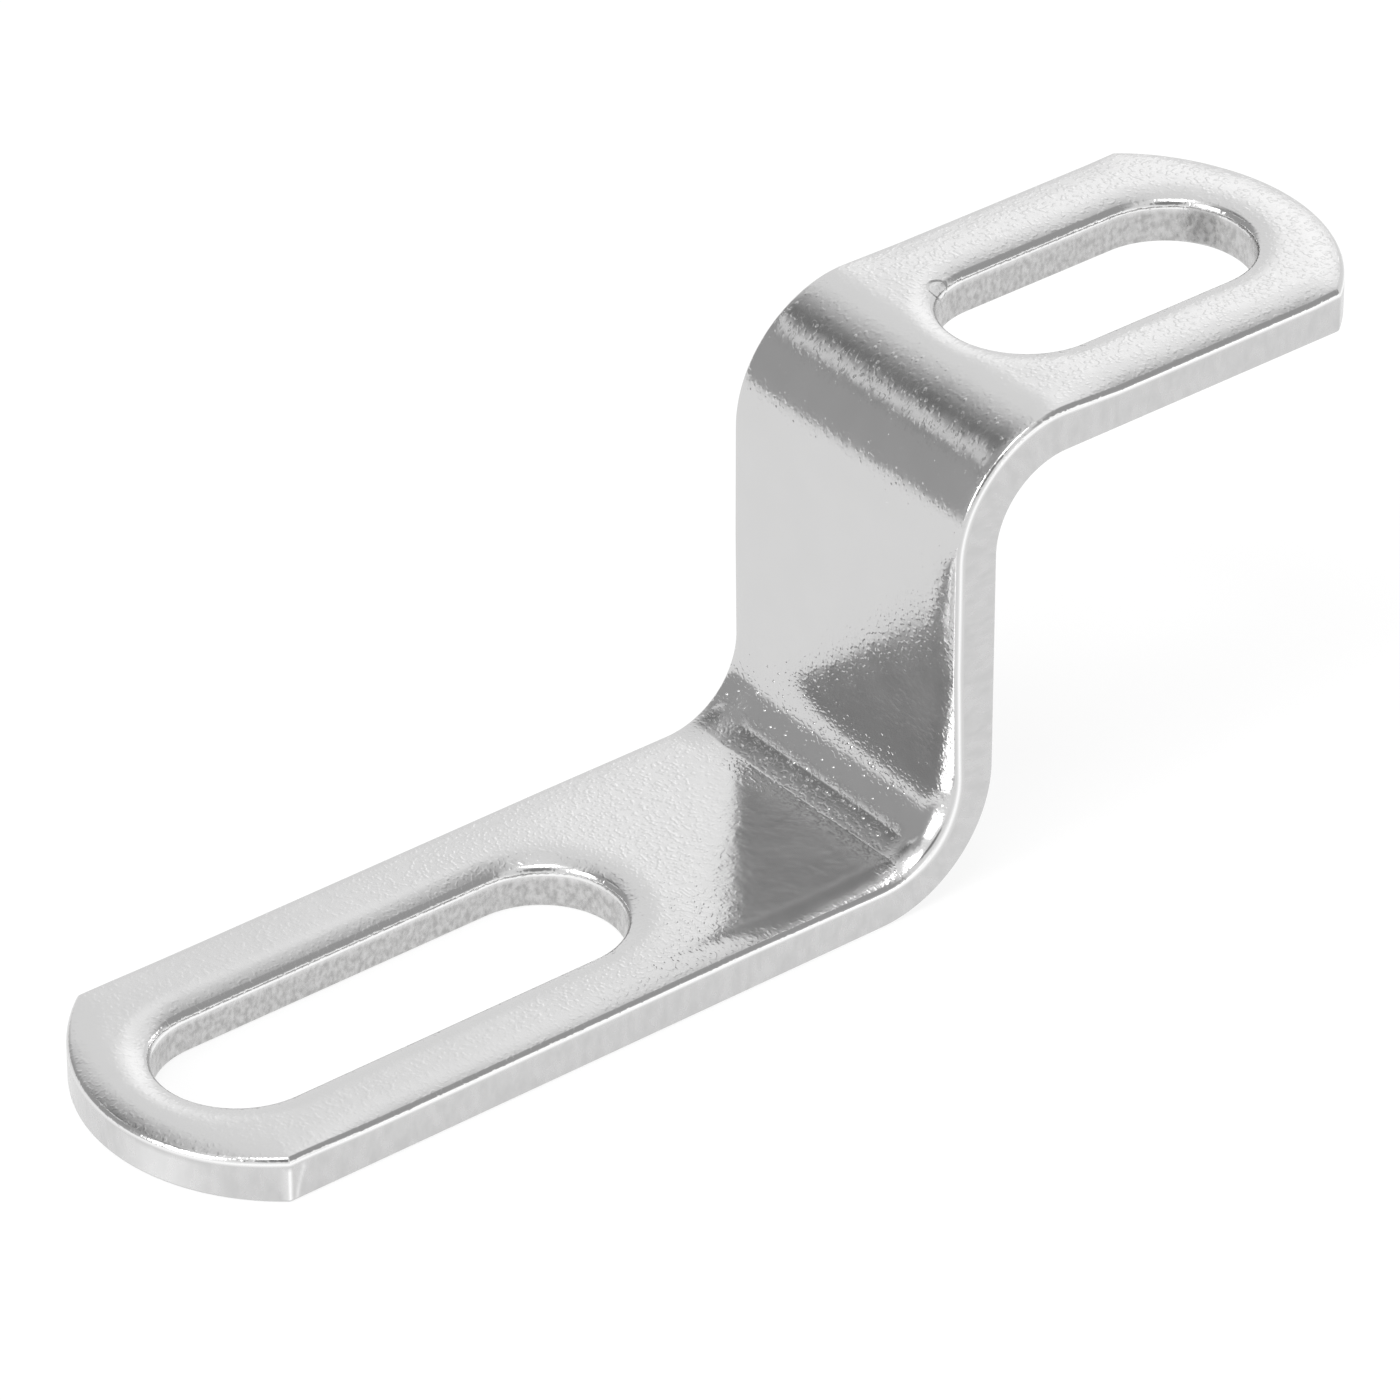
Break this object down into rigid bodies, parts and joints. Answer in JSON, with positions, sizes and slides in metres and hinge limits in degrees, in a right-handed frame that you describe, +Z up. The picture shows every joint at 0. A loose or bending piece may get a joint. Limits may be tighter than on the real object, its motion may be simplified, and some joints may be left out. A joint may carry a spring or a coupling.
{
  "type": "z bracket",
  "caption": "Z-shaped offset bracket folded from one strip of sheet steel: parallel flanges at different heights, rounded ends, a long slot in each flange, bright plated finish.",
  "frame": {"origin": "middle of the lower slot, on the underside of the lower flange", "axes": "+Z up, through both slots; +Y along the strip, from the lower flange to the upper flange; X across the strip"},
  "size_m": [0.02, 0.0855, 0.03],
  "materials": {
    "nickel_plate": "bright nickel plate over stamped steel, with a fine orange-peel grain"
  },
  "bodies": {
    "root": {"z_bracket": "nickel_plate"}
  },
  "joints": []
}
